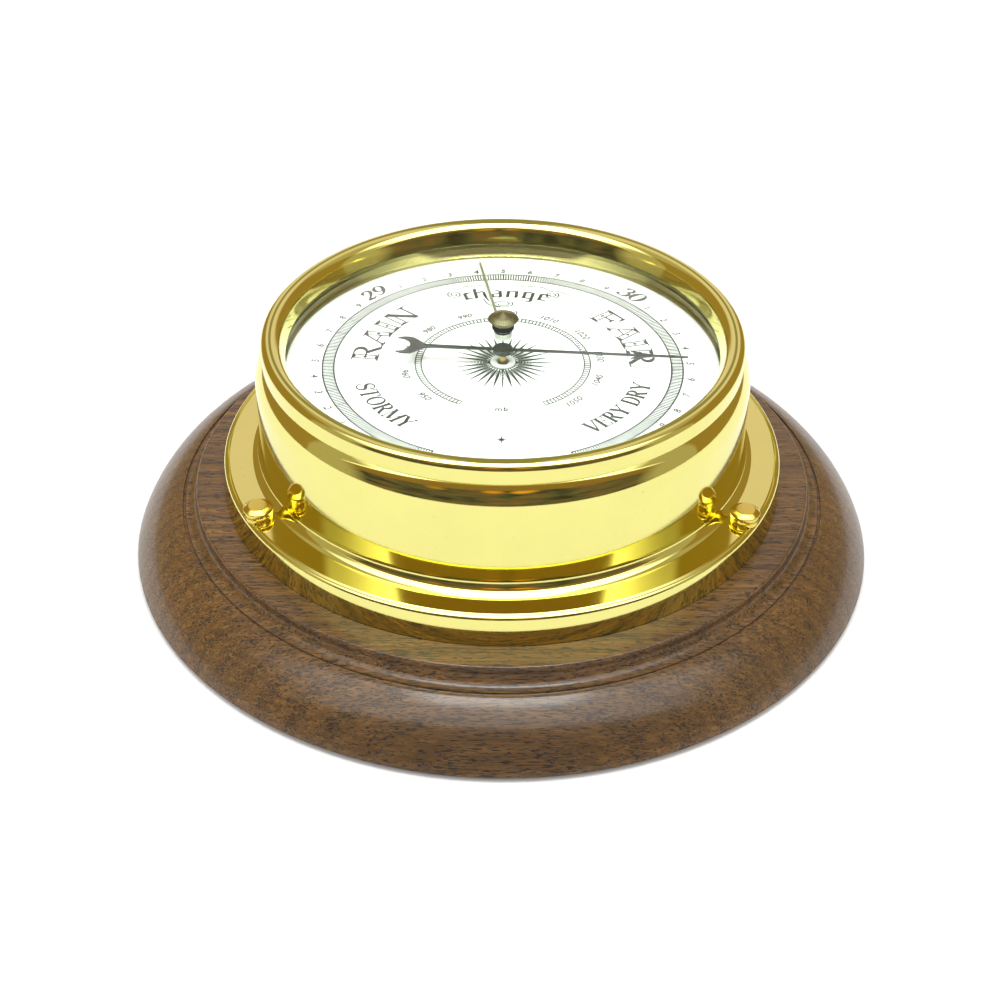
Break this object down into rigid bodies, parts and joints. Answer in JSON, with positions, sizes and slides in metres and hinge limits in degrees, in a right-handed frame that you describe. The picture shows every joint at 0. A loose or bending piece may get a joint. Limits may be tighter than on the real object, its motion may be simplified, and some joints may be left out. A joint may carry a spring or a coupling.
{
  "type": "aneroid barometer",
  "caption": "Round flanged brass aneroid barometer on a turned oak mount, with a white dial, a moon-tailed pointer, a set hand and its full movement.",
  "frame": {"origin": "on the case axis, at the underside of the oak mount", "axes": "+Z out of the dial, +Y towards the top of the dial, +X towards its right"},
  "size_m": [0.2032, 0.2032, 0.0686],
  "materials": {
    "oak": "waxed dark oak",
    "polished_brass": "polished and lacquered",
    "dark_brass": "toned dark",
    "hand_brass": "satin",
    "dial_white": "satin white with black print",
    "clear_glass": "clear",
    "black_rubber": "matt",
    "blued_steel": "blued",
    "bright_steel": "bright",
    "nickel_silver": "satin",
    "cast_bridge": "grey lacquered",
    "plated_steel": "brass plated",
    "movement_brass": "satin"
  },
  "bodies": {
    "case": {"wooden_base": "oak", "hanger_plate": "plated_steel", "hanger_screws": "plated_steel", "mounting_flange": "polished_brass", "brass_case": "polished_brass", "flange_screws": "polished_brass", "back_plate": "bright_steel", "back_plate_screws": "bright_steel", "bezel_ring": "polished_brass", "front_glass": "clear_glass", "glass_gasket": "black_rubber", "dial_ring": "dark_brass", "dial_plate": "dial_white", "dial_washer": "dial_white", "drive_chain": "bright_steel", "hairspring": "blued_steel", "hairspring_stud": "movement_brass", "arbor_plate": "movement_brass", "arbor_pillars": "movement_brass", "arbor_cock": "movement_brass", "cock_screws": "blued_steel", "movement_base_plate": "movement_brass", "movement_screws": "bright_steel", "capsule_foot": "movement_brass", "capsule_lower_shell": "nickel_silver", "spring_bridge": "cast_bridge", "bridge_screws": "bright_steel", "main_spring": "blued_steel", "spring_screws": "bright_steel", "shaft_posts": "movement_brass", "pivot_screws": "blued_steel"},
    "set_hand_assembly": {"set_knob": "polished_brass", "set_spindle": "hand_brass", "knob_washer": "black_rubber", "set_spring_washer": "bright_steel", "set_hand": "hand_brass"},
    "pointer_assembly": {"pointer": "blued_steel", "pointer_arbor": "movement_brass", "chain_drum": "movement_brass"},
    "rocking_shaft_assembly": {"rocking_shaft": "movement_brass"},
    "lever_assembly": {"main_lever": "movement_brass", "lever_screws": "bright_steel", "connecting_link": "movement_brass"},
    "capsule_centre": {"capsule_post": "bright_steel", "capsule_upper_shell": "nickel_silver"},
    "calibration": {"calibration_screw": "bright_steel"}
  },
  "joints": [
    {"name": "pointer_turn", "type": "hinge", "parent": "case", "child": "pointer_assembly", "pos_m": [0, 0, 0.05], "axis": [0, 0, 1], "range_deg": [-63.8, 251.8], "stiffness_Nm_per_rad": 0.0001},
    {"name": "set_hand_turn", "type": "hinge", "parent": "case", "child": "set_hand_assembly", "pos_m": [0, 0, 0.062], "axis": [0, 0, 1], "continuous": true},
    {"name": "rocking_shaft_turn", "type": "hinge", "parent": "case", "child": "rocking_shaft_assembly", "pos_m": [-0.028, 0.001, 0.029], "axis": [0, 1, 0], "range_deg": [-5.7, 22.2], "deforming": ["drive_chain"]},
    {"name": "lever_tilt", "type": "hinge", "parent": "case", "child": "lever_assembly", "pos_m": [0.018, 0, 0.0374], "axis": [0, 1, 0], "range_deg": [-0.42, 1.6], "deforming": ["main_spring"]},
    {"name": "capsule_breathe", "type": "slide", "parent": "case", "child": "capsule_centre", "axis": [0, 0, 1], "range_m": [-0.0001227, 0.0004845], "stiffness_N_per_m": 4000, "deforming": ["capsule_upper_shell"]},
    {"name": "calibration_screw_turn", "type": "hinge", "parent": "case", "child": "calibration", "pos_m": [0.03, 0, 0.022], "axis": [0, 0, 1], "range_deg": [-360, 360]}
  ],
  "couplings": [
    {"joint": "pointer_turn", "follows": "capsule_breathe", "rad_per_m": 9070.3},
    {"joint": "rocking_shaft_turn", "follows": "capsule_breathe", "rad_per_m": 793.65},
    {"joint": "lever_tilt", "follows": "capsule_breathe", "rad_per_m": 55.556}
  ]
}
